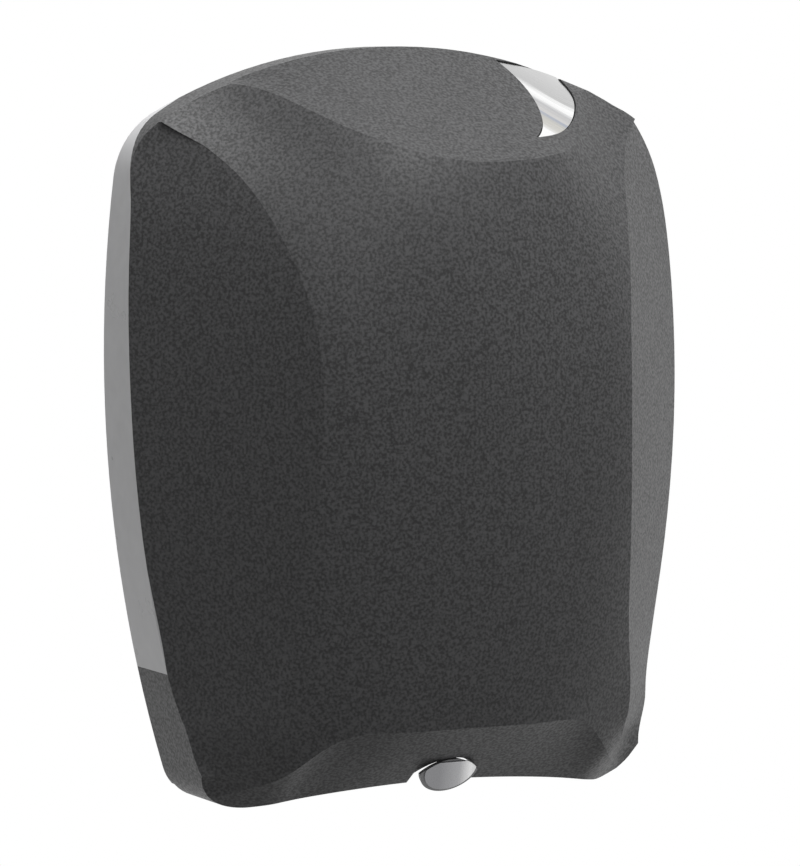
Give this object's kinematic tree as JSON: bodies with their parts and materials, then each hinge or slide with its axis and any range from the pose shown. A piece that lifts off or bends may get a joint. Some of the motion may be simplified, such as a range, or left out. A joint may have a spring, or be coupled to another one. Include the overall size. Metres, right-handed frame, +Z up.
{
  "type": "jumbo toilet roll dispenser",
  "caption": "Wall-mounted jumbo toilet roll dispenser: domed cover hinged at its foot, side windows, press plate for the catch, clamp lever, roll hub on a spindle, toothed tear strips.",
  "frame": {"origin": "centre of the four wall-screw holes, on the back plate's rear face", "axes": "+X to the right as seen by the user, +Y into the wall, +Z up; the front faces -Y"},
  "size_m": [0.328, 0.1323, 0.3999],
  "materials": {
    "case_plastic": "fine grained charcoal",
    "inner_plastic": "smooth dark grey",
    "window_plastic": "smoky grey, slightly clear",
    "light_plastic": "smooth mid grey",
    "satin_metal": "brushed, clear",
    "spring_steel": "bright",
    "screw_steel": "zinc plated",
    "pad_rubber": "matt black"
  },
  "bodies": {
    "wall_side": {"back_plate": "inner_plastic", "spindle": "inner_plastic", "spindle_clip": "spring_steel", "spindle_screws": "screw_steel", "outlet_guide": "inner_plastic", "outlet_guide_screws": "screw_steel", "tear_blade_left": "spring_steel", "tear_blade_right": "spring_steel", "tear_blade_screws": "screw_steel", "hinge_pin_left": "spring_steel", "hinge_pin_right": "spring_steel", "catch_tongue": "spring_steel", "catch_screws": "screw_steel"},
    "cover": {"cover_shell": "case_plastic", "window_left": "window_plastic", "window_right": "window_plastic", "press_tray": "inner_plastic", "press_tray_screws": "screw_steel", "press_spring": "spring_steel", "lever_pin": "spring_steel", "lever_spring": "spring_steel"},
    "press": {"press_plate": "satin_metal", "press_pusher": "light_plastic"},
    "lever": {"lever_body": "light_plastic", "lever_face": "satin_metal", "brake_pad": "pad_rubber"},
    "hub": {"roll_hub": "light_plastic", "hub_cap": "light_plastic"}
  },
  "joints": [
    {"name": "cover_hinge", "type": "hinge", "parent": "wall_side", "child": "cover", "pos_m": [0, -0.014, -0.19212], "axis": [1, 0, 0], "range_deg": [0, 100], "deforming": ["catch_tongue"]},
    {"name": "press_slide", "type": "slide", "parent": "cover", "child": "press", "axis": [0, 0.5735, -0.8192], "range_m": [0, 0.0032], "stiffness_N_per_m": 2000, "springref_m": -0.0005, "deforming": ["press_spring", "catch_tongue"]},
    {"name": "lever_hinge", "type": "hinge", "parent": "cover", "child": "lever", "pos_m": [0, -0.07805, -0.171], "axis": [1, 0, 0], "range_deg": [0, 8], "stiffness_Nm_per_rad": 0.5, "springref_deg": -5.73, "deforming": ["lever_spring"]},
    {"name": "hub_spin", "type": "hinge", "parent": "wall_side", "child": "hub", "pos_m": [0, 0, 0.018], "axis": [0, 1, 0], "continuous": true}
  ]
}
